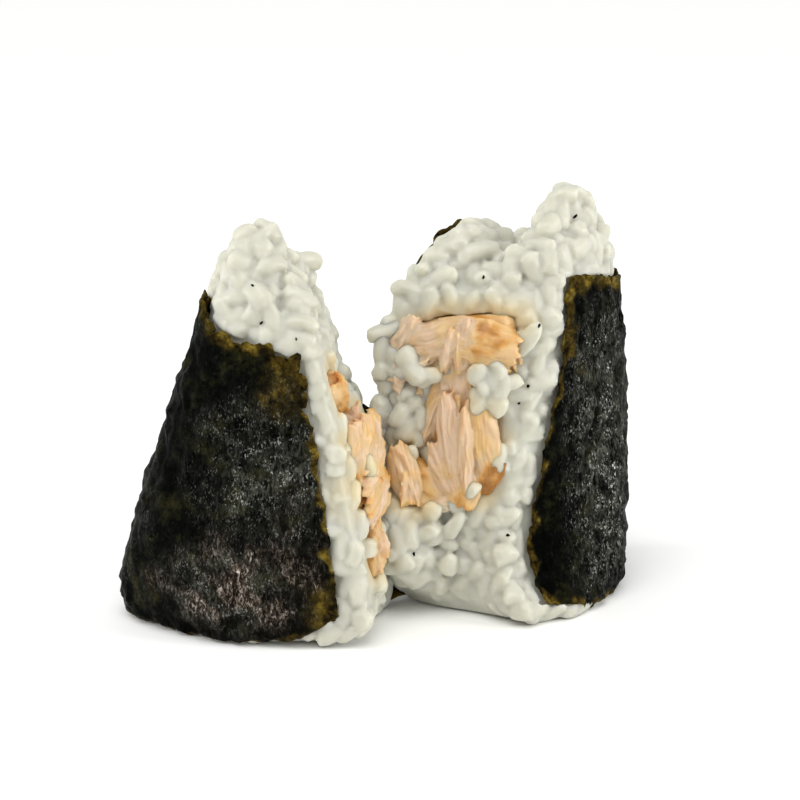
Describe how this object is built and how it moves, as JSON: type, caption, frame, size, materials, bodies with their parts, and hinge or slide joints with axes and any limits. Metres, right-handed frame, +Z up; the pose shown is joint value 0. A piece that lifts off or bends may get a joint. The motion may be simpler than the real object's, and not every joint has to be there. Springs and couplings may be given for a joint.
{
  "type": "onigiri rice ball",
  "caption": "Triangular rice ball wrapped in nori, pulled open like a book and standing on its base, with flaked salmon showing in the torn faces.",
  "frame": {"origin": "middle of the box round the object, on the surface it stands on", "axes": "+Z up, -Y towards the viewer who looks into the opening, +X to that viewer's right, along the two parted halves"},
  "size_m": [0.0876, 0.0544, 0.0707],
  "materials": {
    "rice": "satin",
    "nori": "satin",
    "salmon": "satin"
  },
  "bodies": {
    "root": {"rice": "rice", "nori": "nori", "salmon_right_cap": "salmon", "salmon_right_fibres": "salmon", "salmon_right_wedge": "salmon", "salmon_left_cap": "salmon", "salmon_left_slab": "salmon", "salmon_left_tail": "salmon"}
  },
  "joints": []
}
